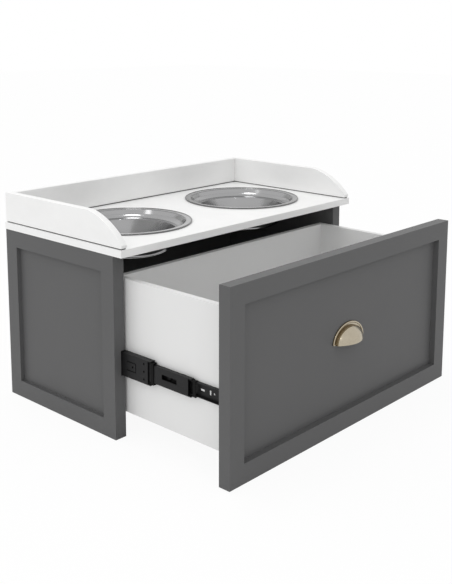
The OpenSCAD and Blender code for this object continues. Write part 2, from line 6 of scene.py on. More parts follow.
import bmesh
import bpy
import numpy as np
from bpy.props import FloatProperty, FloatVectorProperty, IntProperty, PointerProperty
from mathutils import Matrix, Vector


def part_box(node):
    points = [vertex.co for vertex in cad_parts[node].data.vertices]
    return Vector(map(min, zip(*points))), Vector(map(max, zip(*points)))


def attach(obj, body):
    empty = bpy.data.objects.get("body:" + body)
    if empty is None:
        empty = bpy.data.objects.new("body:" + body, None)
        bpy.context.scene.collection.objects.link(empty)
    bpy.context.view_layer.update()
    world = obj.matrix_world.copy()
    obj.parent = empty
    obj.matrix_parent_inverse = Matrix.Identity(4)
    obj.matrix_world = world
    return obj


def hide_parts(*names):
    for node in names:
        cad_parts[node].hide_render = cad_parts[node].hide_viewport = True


bl_info = {
    "name": "Raised pet feeder",
    "version": (1, 0, 0),
    "blender": (4, 5, 0),
    "location": "View3D > Sidebar > Feeder",
    "description": "Builds the boards, bowls, pull, slides and studio of a raised pet feeder",
    "category": "Object",
}

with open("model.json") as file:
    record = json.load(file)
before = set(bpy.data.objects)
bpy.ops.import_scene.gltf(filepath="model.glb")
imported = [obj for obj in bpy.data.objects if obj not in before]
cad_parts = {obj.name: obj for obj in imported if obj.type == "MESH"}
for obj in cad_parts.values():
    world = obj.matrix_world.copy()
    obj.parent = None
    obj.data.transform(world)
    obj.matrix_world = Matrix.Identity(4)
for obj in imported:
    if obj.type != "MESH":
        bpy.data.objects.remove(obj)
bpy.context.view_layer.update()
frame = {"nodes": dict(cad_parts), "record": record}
BODY_OF = {node: body for body, nodes in frame["record"]["behaviour"]["bodies"].items() for node in nodes}
SLOT_OF = {part["node"]: part["material_slot"] for part in frame["record"]["subparts"]}


# Sizes, colours and stage settings.

def length(label, description, default, low, high):
    """A length property in metres."""
    return FloatProperty(name=label, description=description, default=default, min=low, max=high,
                         unit="LENGTH")


def shade(label, description, default):
    """A colour property, as a linear colour."""
    return FloatVectorProperty(name=label, description=description, default=default, size=3, min=0, max=1,
                               subtype="COLOR")


def number(label, description, default, high=1):
    """A plain number property, from 0 up."""
    return FloatProperty(name=label, description=description, default=default, min=0, max=high)


class FeederSizes(bpy.types.PropertyGroup):
    """Sizes of the surfaces that the frame doesn't give."""

    painted_edge: length("Painted edge radius", "Rounding of painted boards' edges", 0.0009, 0.0002, 0.003)
    box_edge: length("Box edge radius", "Rounding of the drawer box's edges", 0.0006, 0.0002, 0.002)
    steel_edge: length("Steel edge radius", "Rounding of the slide members' edges", 0.0003, 0.0001, 0.0006)
    bowl_wall: length("Bowl wall", "Steel thickness of a bowl", 0.0012, 0.0006, 0.002)
    bowl_bead: length("Bowl bead radius", "Radius of the bead round a bowl's rim", 0.0015, 0.0008, 0.003)
    pull_flange: length("Pull flange", "Width of the flange round the pull's collar", 0.0075, 0.005, 0.010)
    pull_bead: length("Pull bead width", "Width of the bead round the pull's flange", 0.0035, 0.001, 0.004)
    pull_collar: length("Pull collar", "Depth of the straight collar under the dome", 0.007, 0.004, 0.009)
    pull_step: length("Pull step", "Step from the collar in to the dome", 0.001, 0.0006, 0.0012)
    pull_wall: length("Pull wall", "Wall thickness of the cup", 0.002, 0.001, 0.003)
    rail_sweep: length("Rail sweep", "Length of the sweep down to a side rail's front end", 0.092, 0.06, 0.12)
    rail_nose: length("Rail nose", "Height of a side rail's front end", 0.008, 0.006, 0.02)
    rail_bow: length("Rail bow", "How far the sweep bulges beyond a straight line", 0.009, 0.004, 0.012)
    rail_gap: length("Shadow gap", "Height and depth of the gap under the rails", 0.002, 0.001, 0.004)
    round_steps: IntProperty(name="Steps round a bowl", description="Faces round a bowl", default=192, min=48,
                             max=360)


class FeederColours(bpy.types.PropertyGroup):
    """Colours of the finishes."""

    cabinet: shade("Cabinet paint", "Colour of the cabinet and the drawer's front", (0.107, 0.107, 0.108))
    top: shade("Top paint", "Colour of the slab and its rails", (0.815, 0.815, 0.81))
    # Painted shadow: the rails' feet are part of the white rails, and are painted this dark grey as the shade
    # in the gap under them.
    shadow: shade("Rail feet", "Colour of the rails' feet in the shadow gap", (0.10, 0.10, 0.10))
    box: shade("Drawer box", "Colour of the drawer box's boards", (0.72, 0.72, 0.716))
    steel: shade("Steel", "Colour of the bowls", (0.37, 0.37, 0.373))
    brass: shade("Brass", "Colour of the pull where it is rubbed bright", (0.45, 0.40, 0.31))
    patina: shade("Patina", "Colour of the pull on its sides", (0.27, 0.205, 0.12))
    tarnish: shade("Tarnish", "Colour of the pull in its recesses", (0.055, 0.042, 0.022))
    slide: shade("Slide coating", "Colour of the telescopic slides", (0.009, 0.009, 0.0095))
    cage: shade("Ball cages", "Colour of the ball cages", (0.003, 0.003, 0.003))
    screw: shade("Screws", "Colour of the zinc-plated screws", (0.62, 0.63, 0.64))
    dowel: shade("Dowels", "Colour of the dowels", (0.60, 0.42, 0.24))


class FeederStage(bpy.types.PropertyGroup):
    """Light, floor and camera."""

    sky: number("Surrounding light", "Strength of the light from all sides", 0.92, 2)
    sky_lean: number("Lean of the surrounding light", "How much more comes from the left", 0.30)
    left_light: number("Left light", "Power of the light at the left, in watts", 1.6, 500)
    top_light: number("Top light", "Power of the light above, in watts", 7, 500)
    front_light: number("Front light", "Power of the light in front, in watts", 2.4, 500)
    floor_glow: number("Floor glow", "Share of plain white in the floor's look", 0.93)
    camera_azimuth: FloatProperty(name="Camera azimuth", description="Turn of the view from +Y towards +X",
                                  default=math.radians(46.853), subtype="ANGLE")
    camera_pitch: FloatProperty(name="Camera pitch", description="Tilt of the view below the horizon",
                                default=math.radians(9.232), subtype="ANGLE")
    camera_lens: FloatProperty(name="Focal length", description="Focal length in millimetres",
                               default=56.02, min=20, max=200)
    camera_place: FloatVectorProperty(name="Camera place", description="Where the camera stands",
                                      default=(-1.3678, -1.2277, 0.7506), size=3, subtype="TRANSLATION",
                                      unit="LENGTH")
    camera_shift: FloatVectorProperty(name="Camera shift", description="Shift, as shares of the picture",
                                      default=(0.0183, -0.2), size=2)


# Shader expressions. The numbers are the places of sockets in their nodes.

CAMERA_RAY, GLOSSY_RAY, TRANSMISSION_RAY = 0, 3, 6
PLACE_ROUND, PLACE_UV, PLACE_OBJECT = 0, 2, 3
MIX_AMOUNT, MIX_LOW, MIX_HIGH, MIX_COLOUR = 0, 6, 7, 2
VECTOR_NUMBER = 1
ATTRIBUTE_NUMBER = 2


class Wire:
    """A number or colour that comes out of a shader node, with the arithmetic signs."""

    def __init__(self, finish, socket):
        self.finish, self.socket = finish, socket

    def maths(self, operation, *terms):
        """A Math node on this wire and the terms, in the order given."""
        return self.finish.node("ShaderNodeMath", {"operation": operation}, dict(enumerate(terms)))[0]

    def __add__(self, other):
        return self.maths("ADD", self, other)

    def __sub__(self, other):
        return self.maths("SUBTRACT", self, other)

    def __rsub__(self, other):
        return self.maths("SUBTRACT", other, self)

    def __mul__(self, other):
        return self.maths("MULTIPLY", self, other)

    __radd__ = __add__
    __rmul__ = __mul__

    def larger(self, other):
        """The larger of this wire and another."""
        return self.maths("MAXIMUM", self, other)

    def ramped(self, low, high):
        """A smooth step from 0 at low to 1 at high."""
        settings = {"interpolation_type": "SMOOTHSTEP"}
        values = {"Value": self, "From Min": low, "From Max": high}
        return self.finish.node("ShaderNodeMapRange", settings, values)[0]


class Finish:
    """A material, or a world, that is written as expressions on wires."""

    def __init__(self, owner, output="ShaderNodeOutputMaterial"):
        owner.use_nodes = True
        self.owner, self.tree = owner, owner.node_tree
        self.tree.nodes.clear()
        self.output = self.tree.nodes.new(output)

    def node(self, kind, settings=None, values=None):
        """A node of a kind, with its settings made first and then its sockets' values or links.

        Gives its outputs."""
        made = self.tree.nodes.new(kind)
        for key, value in (settings or {}).items():
            setattr(made, key, value)
        for key, value in (values or {}).items():
            if isinstance(value, Wire):
                self.tree.links.new(value.socket, made.inputs[key])
            else:
                made.inputs[key].default_value = value
        return [Wire(self, socket) for socket in made.outputs]

    def place(self, scale=(1, 1, 1), uv=False):
        """Object coordinates, or the piece's own UV map, times a scale."""
        source = self.node("ShaderNodeTexCoord")[PLACE_UV if uv else PLACE_OBJECT]
        return self.node("ShaderNodeVectorMath", {"operation": "MULTIPLY"}, {0: source, 1: scale})[0]

    def noise(self, place, scale, detail=2.0, rough=0.5):
        """Fractal noise from 0 to 1."""
        values = {"Vector": place, "Scale": scale, "Detail": detail, "Roughness": rough}
        return self.node("ShaderNodeTexNoise", None, values)[0]

    def attribute(self, name):
        """A number kept on the piece's points."""
        return self.node("ShaderNodeAttribute", {"attribute_name": name})[ATTRIBUTE_NUMBER]

    def seen(self):
        """1 for what the camera sees, also in metal and through glass, and 0 for light on the object."""
        path = self.node("ShaderNodeLightPath")
        return path[CAMERA_RAY].larger(path[GLOSSY_RAY].larger(path[TRANSMISSION_RAY]))

    def blend(self, amount, low, high):
        """A colour between low and high."""
        values = {MIX_AMOUNT: amount, MIX_LOW: low, MIX_HIGH: high}
        return self.node("ShaderNodeMix", {"data_type": "RGBA"}, values)[MIX_COLOUR]

    def bump(self, height, distance, strength=0.5):
        """A normal from a height that varies from 0 to 1 over a distance in metres."""
        values = {"Height": height, "Distance": distance, "Strength": strength}
        return self.node("ShaderNodeBump", None, values)[0]

    def surface(self, values):
        """Ends the material in a Principled shader with these sockets."""
        shader = self.node("ShaderNodeBsdfPrincipled", None, values)[0]
        self.tree.links.new(shader.socket, self.output.inputs["Surface"])
        return self.owner


def rgba(colour, level=1.0):
    """A colour with its alpha, darkened or lightened by a level."""
    return tuple(min(1.0, part * level) for part in colour) + (1.0,)


# Finishes.

def paint_finish(name, colour, roughness):
    """Sprayed satin paint: a fine orange peel, and slow changes of tone and gloss."""
    mottle, gloss_spread = 0.03, 0.10
    finish = Finish(bpy.data.materials.new(name))
    place = finish.place()
    slow = finish.noise(place, scale=7.0, detail=3.0)
    peel = finish.noise(place, scale=420.0)
    tone = finish.blend(slow, rgba(colour, 1 - mottle), rgba(colour, 1 + mottle))
    gloss = finish.noise(place, scale=55.0, detail=3.0) * gloss_spread + (roughness - gloss_spread / 2)
    return finish.surface({"Base Color": tone, "Roughness": gloss, "Specular IOR Level": 0.12,
                           "Normal": finish.bump(peel, distance=0.00003, strength=0.6)})


def slab_finish(name, colour):
    """Satin white with a very faint cloudy veining, as on a pale laminate."""
    finish = Finish(bpy.data.materials.new(name))
    place = finish.place((1.0, 0.55, 1.0))
    warp = finish.noise(place, scale=5.0, detail=4.0)
    cloud = finish.noise(place, scale=16.0, detail=6.0, rough=0.62)
    vein = (cloud + warp * 0.7).ramped(0.72, 1.0)
    tone = finish.blend(vein, rgba(colour, 1.01), rgba(colour, 0.985))
    fine = finish.noise(finish.place(), scale=500.0)
    return finish.surface({"Base Color": tone, "Roughness": cloud * 0.12 + 0.30, "IOR": 1.47,
                           "Normal": finish.bump(fine, distance=0.00002)})


def foil_finish(name, colour):
    """White foil on the drawer box: a slight fibre grain along the boards."""
    finish = Finish(bpy.data.materials.new(name))
    grain = finish.noise(finish.place((1.0, 1.0, 0.12)), scale=320.0, detail=3.0)
    slow = finish.noise(finish.place(), scale=6.0)
    tone = finish.blend(slow, rgba(colour, 0.985), rgba(colour, 1.015))
    return finish.surface({"Base Color": tone, "Roughness": grain * 0.10 + 0.42,
                           "Normal": finish.bump(grain, distance=0.00002)})


def bowl_finish(name, colour):
    """Spun stainless steel: hair-fine rings round the axis, on the surface's own UV map, and painted shade in
    its creases.
    """
    finish = Finish(bpy.data.materials.new(name))
    rings = finish.noise(finish.place((6.0, 2600.0, 1.0), uv=True), scale=1.0, detail=3.0, rough=0.6)
    patches = finish.noise(finish.place(), scale=28.0, detail=3.0)
    tone = finish.blend(rings, rgba(colour, 0.90), rgba(colour, 1.08))
    # Painted shade: where the profile bends sharply, the colour is darkened towards a third of the steel's,
    # as dark lines in the creases.
    tone = finish.blend(finish.attribute("patina_and_crease_shade"), tone, rgba(colour, 0.35))
    gloss = rings * 0.05 + patches * 0.04 + 0.11
    return finish.surface({"Base Color": tone, "Metallic": 1.0, "Roughness": gloss,
                           "Normal": finish.bump(rings, distance=0.000012, strength=0.6)})


def brass_finish(name, bright, middle, dark):
    """Antique brass: dark in the recesses by the piece's own relief, rubbed bright on its high places."""
    finish = Finish(bpy.data.materials.new(name))
    place = finish.place()
    patina_and_crease_shade = finish.attribute("patina_and_crease_shade")
    worn = finish.noise(place, scale=260.0, detail=5.0, rough=0.65)
    cloud = finish.noise(place, scale=90.0, detail=4.0)
    height = patina_and_crease_shade + worn * 0.24 - 0.12
    mask = height.ramped(0.50, 0.82)
    polished = finish.blend(cloud, rgba(bright, 0.90), rgba(bright, 1.08))
    tone = finish.blend(height.ramped(0.05, 0.50), rgba(dark), rgba(middle))
    tone = finish.blend(mask, tone, polished)
    gloss = 0.38 - mask * 0.20 + worn * 0.08
    return finish.surface({"Base Color": tone, "Metallic": mask * 0.15 + 0.85, "Roughness": gloss,
                           "Normal": finish.bump(worn, distance=0.00006)})


def slide_finish(name, colour):
    """Black electro-coated steel with fine speckle and slight rubbing."""
    finish = Finish(bpy.data.materials.new(name))
    speckle = finish.noise(finish.place(), scale=900.0)
    rub = finish.noise(finish.place((1.0, 0.1, 1.0)), scale=160.0, detail=4.0).ramped(0.60, 0.85)
    tone = finish.blend(rub, rgba(colour), rgba(colour, 2.2))
    return finish.surface({"Base Color": tone, "Roughness": speckle * 0.12 + 0.36, "Specular IOR Level": 0.2,
                           "Normal": finish.bump(speckle, distance=0.00002)})


def plastic_finish(name, colour):
    """Moulded black plastic with a fine sparked texture."""
    finish = Finish(bpy.data.materials.new(name))
    spark = finish.noise(finish.place(), scale=1400.0)
    tone = finish.blend(spark, rgba(colour, 0.8), rgba(colour, 1.3))
    return finish.surface({"Base Color": tone, "Roughness": spark * 0.15 + 0.45, "Specular IOR Level": 0.1,
                           "Normal": finish.bump(spark, distance=0.00002)})


def zinc_finish(name, colour):
    """Bright zinc plating with faint cloudy passivation."""
    finish = Finish(bpy.data.materials.new(name))
    cloud = finish.noise(finish.place(), scale=400.0, detail=3.0)
    tone = finish.blend(cloud, rgba(colour, 0.85), rgba(colour, 1.1))
    return finish.surface({"Base Color": tone, "Metallic": 1.0, "Roughness": cloud * 0.15 + 0.22})


def dowel_finish(name, colour):
    """Beech with grain that runs along the piece."""
    finish = Finish(bpy.data.materials.new(name))
    grain = finish.noise(finish.place((0.1, 1.0, 1.0)), scale=700.0, detail=4.0)
    tone = finish.blend(grain, rgba(colour, 0.75), rgba(colour, 1.15))
    return finish.surface({"Base Color": tone, "Roughness": grain * 0.2 + 0.55,
                           "Normal": finish.bump(grain, distance=0.00003)})


def floor_finish(name, glow):
    """White floor that keeps a soft shadow: some plain white, where it is seen, over a diffuse white."""
    finish = Finish(bpy.data.materials.new(name))
    diffuse = finish.node("ShaderNodeBsdfDiffuse", None, {"Color": rgba((0.86, 0.86, 0.86))})[0]
    white = finish.node("ShaderNodeEmission", None, {"Color": rgba((1.0, 1.0, 1.0)), "Strength": 1.0})[0]
    mixed = finish.node("ShaderNodeMixShader", None, {0: finish.seen() * glow, 1: diffuse, 2: white})[0]
    finish.tree.links.new(mixed.socket, finish.output.inputs["Surface"])
    return finish.owner


FINISHES = {
    "grey_paint": lambda name, colours: paint_finish(name, colours.cabinet, 0.42),
    "white_top": lambda name, colours: slab_finish(name, colours.top),
    # Painted shadow: the rails' feet are painted dark grey as the shade in the gap.
    "rail_foot_painted_shadow": lambda name, colours: paint_finish(name, colours.shadow, 0.6),
    "white_box": lambda name, colours: foil_finish(name, colours.box),
    "steel": lambda name, colours: bowl_finish(name, colours.steel),
    "pull_brass": lambda name, colours: brass_finish(name, colours.brass, colours.patina, colours.tarnish),
    "slide_black": lambda name, colours: slide_finish(name, colours.slide),
    "cage_black": lambda name, colours: plastic_finish(name, colours.cage),
    "screw_steel": lambda name, colours: zinc_finish(name, colours.screw),
    "dowel_wood": lambda name, colours: dowel_finish(name, colours.dowel),
}


def finish_of(slot, colours):
    """The material of a slot of the record, made once."""
    name = "finish_" + slot
    return bpy.data.materials.get(name) or FINISHES[slot](name, colours)


# Meshes.

def add_piece(name, mesh, node, colours, stands_for=True):
    """Links a mesh as a piece that rides on a CAD node's body, wears its slot's finish and stands for it."""
    piece = bpy.data.objects.new(name, mesh)
    bpy.context.scene.collection.objects.link(piece)
    mesh.materials.append(finish_of(SLOT_OF[node], colours))
    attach(piece, BODY_OF[node])
    if stands_for:
        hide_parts(node)
    return piece


def grid_mesh(name, points, marks=None, along=None):
    """A surface through an (m, n, 3) array of points, as quads, with a UV map.

    U runs from 0 to 1 over n, and V is along, which has m values, or runs from 0 to 1. Where the grid closes
    on itself or ends in a pole, the doubles are merged and the faces turned outwards. marks is an (m, n)
    array kept on the points: the brass pull's patina in its hollows, and the steel bowls' painted shade in
    their creases."""
    m, n = points.shape[:2]
    mesh = bpy.data.meshes.new(name)
    index = np.arange(m * n).reshape(m, n)
    quads = np.stack([index[:-1, :-1], index[:-1, 1:], index[1:, 1:], index[1:, :-1]], axis=-1).reshape(-1, 4)
    mesh.from_pydata(points.reshape(-1, 3).tolist(), [], quads.tolist())
    u, v = np.meshgrid(np.linspace(0, 1, n), np.linspace(0, 1, m) if along is None else along)
    uv = np.stack([u, v], axis=-1).reshape(-1, 2)[quads.ravel()]
    mesh.uv_layers.new(name="UVMap").data.foreach_set("uv", uv.ravel())
    if marks is not None:
        mesh.attributes.new("patina_and_crease_shade", "FLOAT", "POINT").data.foreach_set("value", marks.ravel())
    weld(mesh)
    mesh.polygons.foreach_set("use_smooth", np.ones(len(mesh.polygons), bool))
    return mesh


def weld(mesh, gap=1e-6):
    """Merges a mesh's doubles and turns its faces outwards."""
    work = bmesh.new()
    work.from_mesh(mesh)
    bmesh.ops.remove_doubles(work, verts=work.verts, dist=gap)
    bmesh.ops.recalc_face_normals(work, faces=work.faces)
    work.to_mesh(mesh)
    work.free()


def welded_copy(name, node):
    """A new mesh with a CAD node's shape: its points merged and its flat triangles joined."""
    source = frame["nodes"][node].data
    points = np.empty(len(source.vertices) * 3)
    source.vertices.foreach_get("co", points)
    source.calc_loop_triangles()
    triangles = np.empty(len(source.loop_triangles) * 3, np.int32)
    source.loop_triangles.foreach_get("vertices", triangles)
    kept, where = np.unique(points.reshape(-1, 3).round(6), axis=0, return_inverse=True)
    faces = where.ravel()[triangles].reshape(-1, 3)
    mesh = bpy.data.meshes.new(name)
    mesh.from_pydata(kept.tolist(), [], faces.tolist())
    work = bmesh.new()
    work.from_mesh(mesh)
    bmesh.ops.dissolve_limit(work, angle_limit=math.radians(0.5), verts=work.verts, edges=work.edges)
    work.to_mesh(mesh)
    work.free()
    return mesh


def eased_board(node, radius, colours):
    """Stands for a CAD node with the same shape and its sharp edges rounded."""
    mesh = welded_copy("eased_" + node, node)
    mesh.polygons.foreach_set("use_smooth", np.ones(len(mesh.polygons), bool))
    piece = add_piece("eased_" + node, mesh, node, colours)
    bevel = piece.modifiers.new("Rounded edges", "BEVEL")
    bevel.width = radius
    bevel.segments = 3
    bevel.limit_method = "ANGLE"
    bevel.angle_limit = math.radians(40)
    bevel.harden_normals = True


def filleted(corners, steps=6, widest_guard=0.0002):
    """A polyline through (x, y, radius) corners, each turned by an arc that touches both its sides.

    The arc's centre lies on the corner's bisector, and a point just before and after the arc, half a radius
    away or the widest guard, keeps flats flat. A corner of radius 0 stays as it is."""
    corners = np.array(corners, float)
    line = [corners[0, :2]]
    for before, here, after in zip(corners[:-2], corners[1:-1], corners[2:]):
        if here[2] == 0:
            line.append(here[:2])
            continue
        back = (before[:2] - here[:2]) / np.linalg.norm(before[:2] - here[:2])
        ahead = (after[:2] - here[:2]) / np.linalg.norm(after[:2] - here[:2])
        half = math.acos(np.clip(back @ ahead, -1, 1)) / 2
        reach = here[2] / math.tan(half)
        start, end = here[:2] + back * reach, here[:2] + ahead * reach
        middle = here[:2] + (back + ahead) / np.linalg.norm(back + ahead) * here[2] / math.sin(half)
        share = np.linspace(0, 1, steps + 1)[:, None]
        chord = start * (1 - share) + end * share - middle
        arc = middle + chord / np.linalg.norm(chord, axis=1, keepdims=True) * here[2]
        guard = min(here[2] / 2, widest_guard)
        line += [start + back * guard, *arc, end + ahead * guard]
    line.append(corners[-1, :2])
    return np.array(line)


def lathe(profile, centre, steps):
    """Points of a profile of (radius, height) turned round the upright line through centre."""
    turn = np.linspace(0, 2 * math.pi, steps + 1)
    radius, height = profile[:, :1], profile[:, 1:]
    x = centre[0] + radius * np.cos(turn)
    y = centre[1] + radius * np.sin(turn)
    return np.stack([x, y, centre[2] + height + 0 * turn], axis=-1)


def plate_mesh(name, outline, low, high, radius, guard=1.4):
    """A board with the closed anticlockwise outline in (y, z), from x low to x high, with rounded edges.

    Each row is the outline moved inwards along its mitred normals: by the radius on the flat faces, and less
    by a quarter circle towards the edge. A further row, guard radii in, keeps the flat faces flat."""
    back = outline - np.roll(outline, 1, axis=0)
    ahead = np.roll(outline, -1, axis=0) - outline
    back = back[:, ::-1] / np.linalg.norm(back, axis=1, keepdims=True) * (-1, 1)
    ahead = ahead[:, ::-1] / np.linalg.norm(ahead, axis=1, keepdims=True) * (-1, 1)
    inward = (back + ahead) / (1 + (back * ahead).sum(axis=1, keepdims=True))
    turn = np.linspace(0, math.pi / 2, 5)
    inset = np.concatenate([[guard * radius], radius * (1 - np.sin(turn))])
    depth = np.concatenate([[0], radius * (1 - np.cos(turn))])
    inset = np.concatenate([inset, inset[::-1]])[:, None, None]
    x = np.concatenate([low + depth, high - depth[::-1]])
    rows = outline + inward * inset
    points = np.concatenate([np.broadcast_to(x[:, None, None], rows.shape[:2] + (1,)), rows], axis=-1)
    m, n = points.shape[:2]
    index = np.arange(m * n).reshape(m, n)
    beside = np.roll(index, -1, axis=1)
    quads = np.stack([index[:-1], beside[:-1], beside[1:], index[1:]], axis=-1).reshape(-1, 4).tolist()
    mesh = bpy.data.meshes.new(name)
    mesh.from_pydata(points.reshape(-1, 3).tolist(), [], quads + [index[0].tolist(), index[-1].tolist()])
    weld(mesh)
    mesh.polygons.foreach_set("use_smooth", np.ones(len(mesh.polygons), bool))
    return mesh


# Pieces.

def side_rail_outline(low, high, sizes):
    """A side rail's outline in (y, z): level at the back, then an arc down to a short nose at the front.

    The arc runs through both its ends and bulges beyond the chord, so its centre lies behind and below."""
    top, nose = np.array((low.y + sizes.rail_sweep, high.z)), np.array((low.y, low.z + sizes.rail_nose))
    chord = np.linalg.norm(top - nose)
    radius = chord ** 2 / (8 * sizes.rail_bow) + sizes.rail_bow / 2
    inward = np.array((top[1] - nose[1], nose[0] - top[0])) / chord
    centre = (top + nose) / 2 + inward * (radius - sizes.rail_bow)
    ends = [math.atan2(*(point - centre)[::-1]) for point in (top, nose)]
    turn = np.linspace(*ends, 25)[1:-1]
    arc = centre + radius * np.stack([np.cos(turn), np.sin(turn)], axis=-1)
    foot, middle, corner = low.z + sizes.rail_gap, (low.y + high.y) / 2, 2 * sizes.painted_edge
    corners = [(middle, foot, 0), (high.y, foot, corner), (high.y, high.z, corner), (*top, 0)]
    corners += [(*point, 0) for point in arc]
    corners += [(*nose, corner), (low.y, foot, corner), (middle, foot, 0)]
    return filleted(corners)[:-1]


def back_rail_outline(low, high, sizes):
    """The back rail's outline in (y, z), a rectangle with rounded corners."""
    foot, middle, corner = low.z + sizes.rail_gap, (low.y + high.y) / 2, 2 * sizes.painted_edge
    turns = [(high.y, foot), (high.y, high.z), (low.y, high.z), (low.y, foot)]
    corners = [(middle, foot, 0), *[(*point, corner) for point in turns], (middle, foot, 0)]
    return filleted(corners)[:-1]


def build_rail(node, outline_of, sizes, colours, foot_edge=0.0001):
    """A rail with rounded edges, on its narrower foot in the shadow gap, which is painted dark grey as the
    gap's shadow.
    """
    low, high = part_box(node)
    gap = sizes.rail_gap
    mesh = plate_mesh("shaped_" + node, outline_of(low, high, sizes), low.x, high.x, sizes.painted_edge)
    add_piece("shaped_" + node, mesh, node, colours)
    top = low.z + gap + sizes.painted_edge
    foot = np.array([(low.y + gap, low.z), (high.y - gap, low.z), (high.y - gap, top), (low.y + gap, top)])
    mesh = plate_mesh("foot_" + node, foot, low.x + gap, high.x - gap, foot_edge)
    piece = add_piece("foot_" + node, mesh, node, colours, stands_for=False)
    # The foot wears dark grey paint as the painted shadow in the gap under the rail.
    piece.data.materials[0] = finish_of("rail_foot_painted_shadow", colours)


def bowl_profile(rim_r, depth, wall, bead):
    """(radius, height) from the centre of the inside, over the rim, to the centre of the underside.

    Heights are above the slab. From the rim the wall goes steeply down from the neck to a ring, in over a
    hollow ledge to the shoulder, and down again to a rounded foot and a flat middle. Each row is a corner
    with the radius of its fillet."""
    neck, ring, shoulder, foot = (rim_r - inset for inset in (0.0120, 0.0170, 0.0330, 0.0450))
    ledge, flat = ring * 0.68 + shoulder * 0.32, 0.050
    rim_height, ring_height, ledge_height, shoulder_height = 0.0021, -0.0076, -0.0128, -0.0150
    clearance = 0.0001
    underside = clearance - depth
    floor = underside + wall
    inside = [
        (0, floor + 0.0004, 0),
        (flat, floor + 0.0002, 0),
        (foot, floor, 0.0180),
        (shoulder - wall, shoulder_height, 0.0022),
        (ledge - wall / 2, ledge_height, 0.0200),
        (ring - wall, ring_height, 0.0009),
        (neck - wall, rim_height, 0.0024),
        (rim_r - 2.1 * bead, rim_height, 0.0003),
    ]
    outside = [
        (rim_r - 1.8 * bead, clearance, 0.0003),
        (neck, clearance, 0.0006),
        (ring, ring_height - wall, 0.0012),
        (ledge, ledge_height - wall, 0.0210),
        (shoulder, shoulder_height - wall, 0.0026),
        (foot + wall, underside, 0.0190),
        (flat, underside, 0),
        (0, underside, 0),
    ]
    turn = np.radians(np.linspace(150, -90, 15))
    bead_line = np.stack([rim_r - bead + bead * np.cos(turn), bead + bead * np.sin(turn)], axis=-1)
    up = filleted(inside + [(*bead_line[0], 0)])
    down = filleted([(*bead_line[-1], 0)] + outside)
    return np.concatenate([up, bead_line[1:-1], down])


def bend(profile, steps, sharpest=800):
    """How sharply a profile turns at each point: the change of heading over the length of its steps, from 0
    where it is straight to 1 at the sharpest curvature."""
    heading = np.unwrap(np.arctan2(*np.diff(profile, axis=0).T[::-1]))
    turn = np.abs(np.diff(heading)) / ((steps[1:] + steps[:-1]) / 2)
    return np.clip(np.pad(turn, 1) / sharpest, 0, 1)


def build_bowl(side, sizes, colours):
    """A pressed steel bowl, turned from one closed profile."""
    node = "bowl_" + side
    low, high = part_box(node)
    slab_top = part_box("top_slab")[1].z
    centre = ((low.x + high.x) / 2, (low.y + high.y) / 2, slab_top)
    profile = bowl_profile((high.x - low.x) / 2, slab_top - low.z, sizes.bowl_wall, sizes.bowl_bead)
    points = lathe(profile, centre, sizes.round_steps)
    steps = np.linalg.norm(np.diff(profile, axis=0), axis=1)
    # How sharply the profile bends at each row, kept on the points for the painted shade in the bowl's
    # creases.
    painted_crease_shade = np.repeat(bend(profile, steps)[:, None], points.shape[1], axis=1)
    mesh = grid_mesh("pressed_" + node, points, painted_crease_shade, along=np.concatenate([[0], np.cumsum(steps)]))
    add_piece("pressed_" + node, mesh, node, colours)


def pull_dome(half_w, height, reach, steps_round=72, steps_up=36, dark_foot=0.07):
    """The dome in (x, forward, z): part of an ellipsoid of revolution about an upright line behind its foot.

    Its foot is a half oval, half_w to each side and height up. Rows run up from the lip to the foot and
    columns from left to right. Gives the points and their relief, which falls to 0 at the foot, over
    dark_foot times the reach."""
    radius = (half_w ** 2 + reach ** 2) / (2 * reach)
    axis = radius - reach
    widest = math.acos(axis / radius)
    turn = np.linspace(-widest, widest, steps_round + 1)
    highest = np.arccos(np.clip(axis / (radius * np.cos(turn)), -1, 1))
    share = np.linspace(0, 1, steps_up + 1)[:, None]
    rise = share * highest
    x = radius * np.cos(rise) * np.sin(turn)
    forward = radius * np.cos(rise) * np.cos(turn) - axis
    z = height * radius / half_w * np.sin(rise)
    patina_and_crease_shade = np.clip(forward / (dark_foot * reach), 0, 1)
    return np.stack([x, forward, z], axis=-1), patina_and_crease_shade


def half_oval(half_w, height, turn):
    """A half oval in (x, z) that stands on z 0: half_w times the cosine of turn, height times its sine."""
    return np.stack([half_w * np.cos(turn), height * np.sin(turn)], axis=-1)


def swept_band(outlines, forwards, marks):
    """Rows in (x, forward, z), and their relief: each outline in (x, z) has a distance forward and a mark."""
    rows = [np.insert(line, 1, forward, axis=1) for line, forward in zip(outlines, forwards)]
    return np.array(rows), np.repeat(np.array(marks, float)[:, None], len(outlines[0]), axis=1)


def closed_band(points, marks):
    """A band of rows as a closed body: its last row is joined to its first, and each end is closed by a fan
    to the end's middle."""
    middles = points.mean(axis=0)
    points = np.concatenate([points, points[:1]])
    marks = np.concatenate([marks, marks[:1]])
    first, last = (np.broadcast_to(middles[[side]], (len(points), 1, 3)) for side in (0, -1))
    return np.concatenate([first, points, last], axis=1), np.pad(marks, ((0, 0), (1, 1)), "edge")


def pull_collar(half_w, height, depth, wall, step):
    """The straight collar under the dome, with a rounded front edge and a groove at the flange.

    Each row is the collar's half oval moved in by an inset, at a distance forward and with a relief."""
    turn = np.linspace(math.pi, 0, 97)
    inner_wall = [(wall, 0, 0.3), (wall, depth - 0.0010, 0.1)]
    front_edge = [(step + 0.0002, depth - 0.0009, 0), (step, depth, 0.1), (0.0005, depth, 0.4),
                  (0.00015, depth - 0.00015, 0.55), (0, depth - 0.0005, 0.52)]
    groove = [(0, 0.0028, 0.50), (0, 0.0020, 0.2), (0, 0.0014, 0), (0, 0, 0)]
    insets, forwards, marks = zip(*inner_wall, *front_edge, *groove)
    outlines = [half_oval(half_w - inset, height - inset, turn) for inset in insets]
    return closed_band(*swept_band(outlines, forwards, marks))


